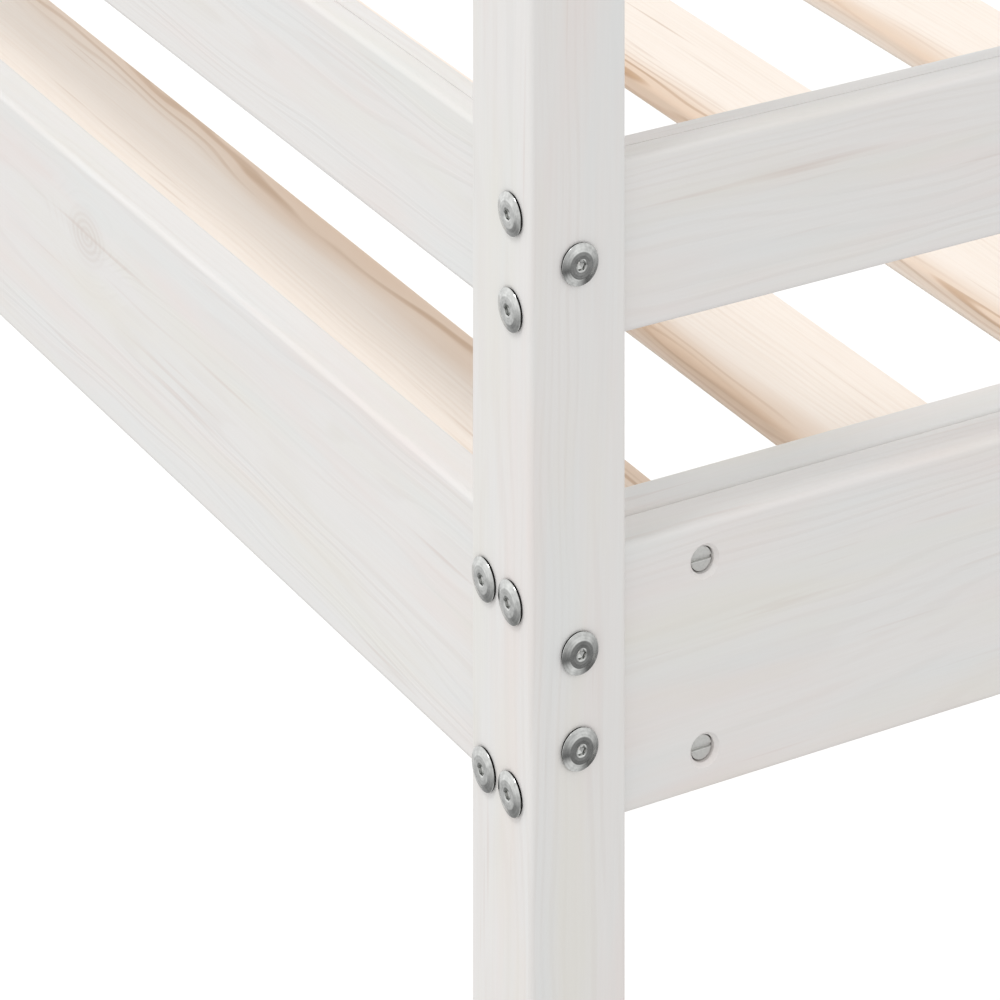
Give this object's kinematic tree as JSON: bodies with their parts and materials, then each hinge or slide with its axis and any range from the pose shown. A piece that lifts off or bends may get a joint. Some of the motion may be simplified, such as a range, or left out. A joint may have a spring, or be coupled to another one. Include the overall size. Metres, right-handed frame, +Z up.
{
  "type": "bunk bed with ladder",
  "caption": "Solid timber bunk bed with square corner posts, bolted rails and guard rails, cross slats on ledgers and a leaning ladder that lifts off its hooks.",
  "frame": {"origin": "middle of the whole footprint on the floor, with the ladder's foot counted", "axes": "+X along the bed towards the ladder end, +Y from the ladder side to the back, +Z up"},
  "size_m": [1.9796, 1.2946, 1.61],
  "materials": {
    "whitewashed_pine": "whitewashed and waxed, satin",
    "bare_pine": "planed, unfinished",
    "beech_dowel": "fluted, unfinished",
    "zinc_plated_steel": "bright zinc plate",
    "painted_hook_steel": "satin powder coat",
    "nylon_glide": "moulded, matt",
    "rubber_pad": "moulded, matt"
  },
  "bodies": {
    "bed": {"post_front_left": "whitewashed_pine", "post_front_right": "whitewashed_pine", "post_back_left": "whitewashed_pine", "post_back_right": "whitewashed_pine", "upper_front_rail_outer": "whitewashed_pine", "upper_front_rail_inner": "whitewashed_pine", "upper_back_rail_outer": "whitewashed_pine", "upper_back_rail_inner": "whitewashed_pine", "lower_front_rail_outer": "whitewashed_pine", "lower_front_rail_inner": "whitewashed_pine", "lower_back_rail_outer": "whitewashed_pine", "lower_back_rail_inner": "whitewashed_pine", "upper_left_end_rail": "whitewashed_pine", "upper_right_end_rail": "whitewashed_pine", "lower_left_end_rail": "whitewashed_pine", "lower_right_end_rail": "whitewashed_pine", "left_guard_low": "whitewashed_pine", "left_guard_high": "whitewashed_pine", "right_guard_low": "whitewashed_pine", "right_guard_high": "whitewashed_pine", "back_guard_low": "whitewashed_pine", "back_guard_high": "whitewashed_pine", "front_guard_low": "whitewashed_pine", "front_guard_high": "whitewashed_pine", "lower_left_head_rail": "whitewashed_pine", "lower_right_head_rail": "whitewashed_pine", "guard_stile": "whitewashed_pine", "upper_front_ledger": "bare_pine", "upper_back_ledger": "bare_pine", "lower_front_ledger": "bare_pine", "lower_back_ledger": "bare_pine", "upper_slats": "bare_pine", "lower_slats": "bare_pine", "side_dowels": "beech_dowel", "end_dowels": "beech_dowel", "stile_dowels": "beech_dowel", "side_bolts": "zinc_plated_steel", "end_bolts": "zinc_plated_steel", "side_barrel_nuts": "zinc_plated_steel", "end_barrel_nuts": "zinc_plated_steel", "stile_bolts": "zinc_plated_steel", "stile_nuts": "zinc_plated_steel", "slat_screws": "zinc_plated_steel", "ledger_screws": "zinc_plated_steel", "post_glides": "nylon_glide"},
    "ladder": {"ladder_stile_left": "whitewashed_pine", "ladder_stile_right": "whitewashed_pine", "ladder_tread_1": "whitewashed_pine", "ladder_tread_2": "whitewashed_pine", "ladder_tread_3": "whitewashed_pine", "ladder_tread_4": "whitewashed_pine", "ladder_tread_5": "whitewashed_pine", "ladder_hook_left": "painted_hook_steel", "ladder_hook_right": "painted_hook_steel", "ladder_screws": "zinc_plated_steel", "ladder_pads": "rubber_pad"}
  },
  "joints": [
    {"name": "ladder_lift", "type": "slide", "parent": "bed", "child": "ladder", "axis": [0, 0, 1], "range_m": [0, 0.1]}
  ]
}
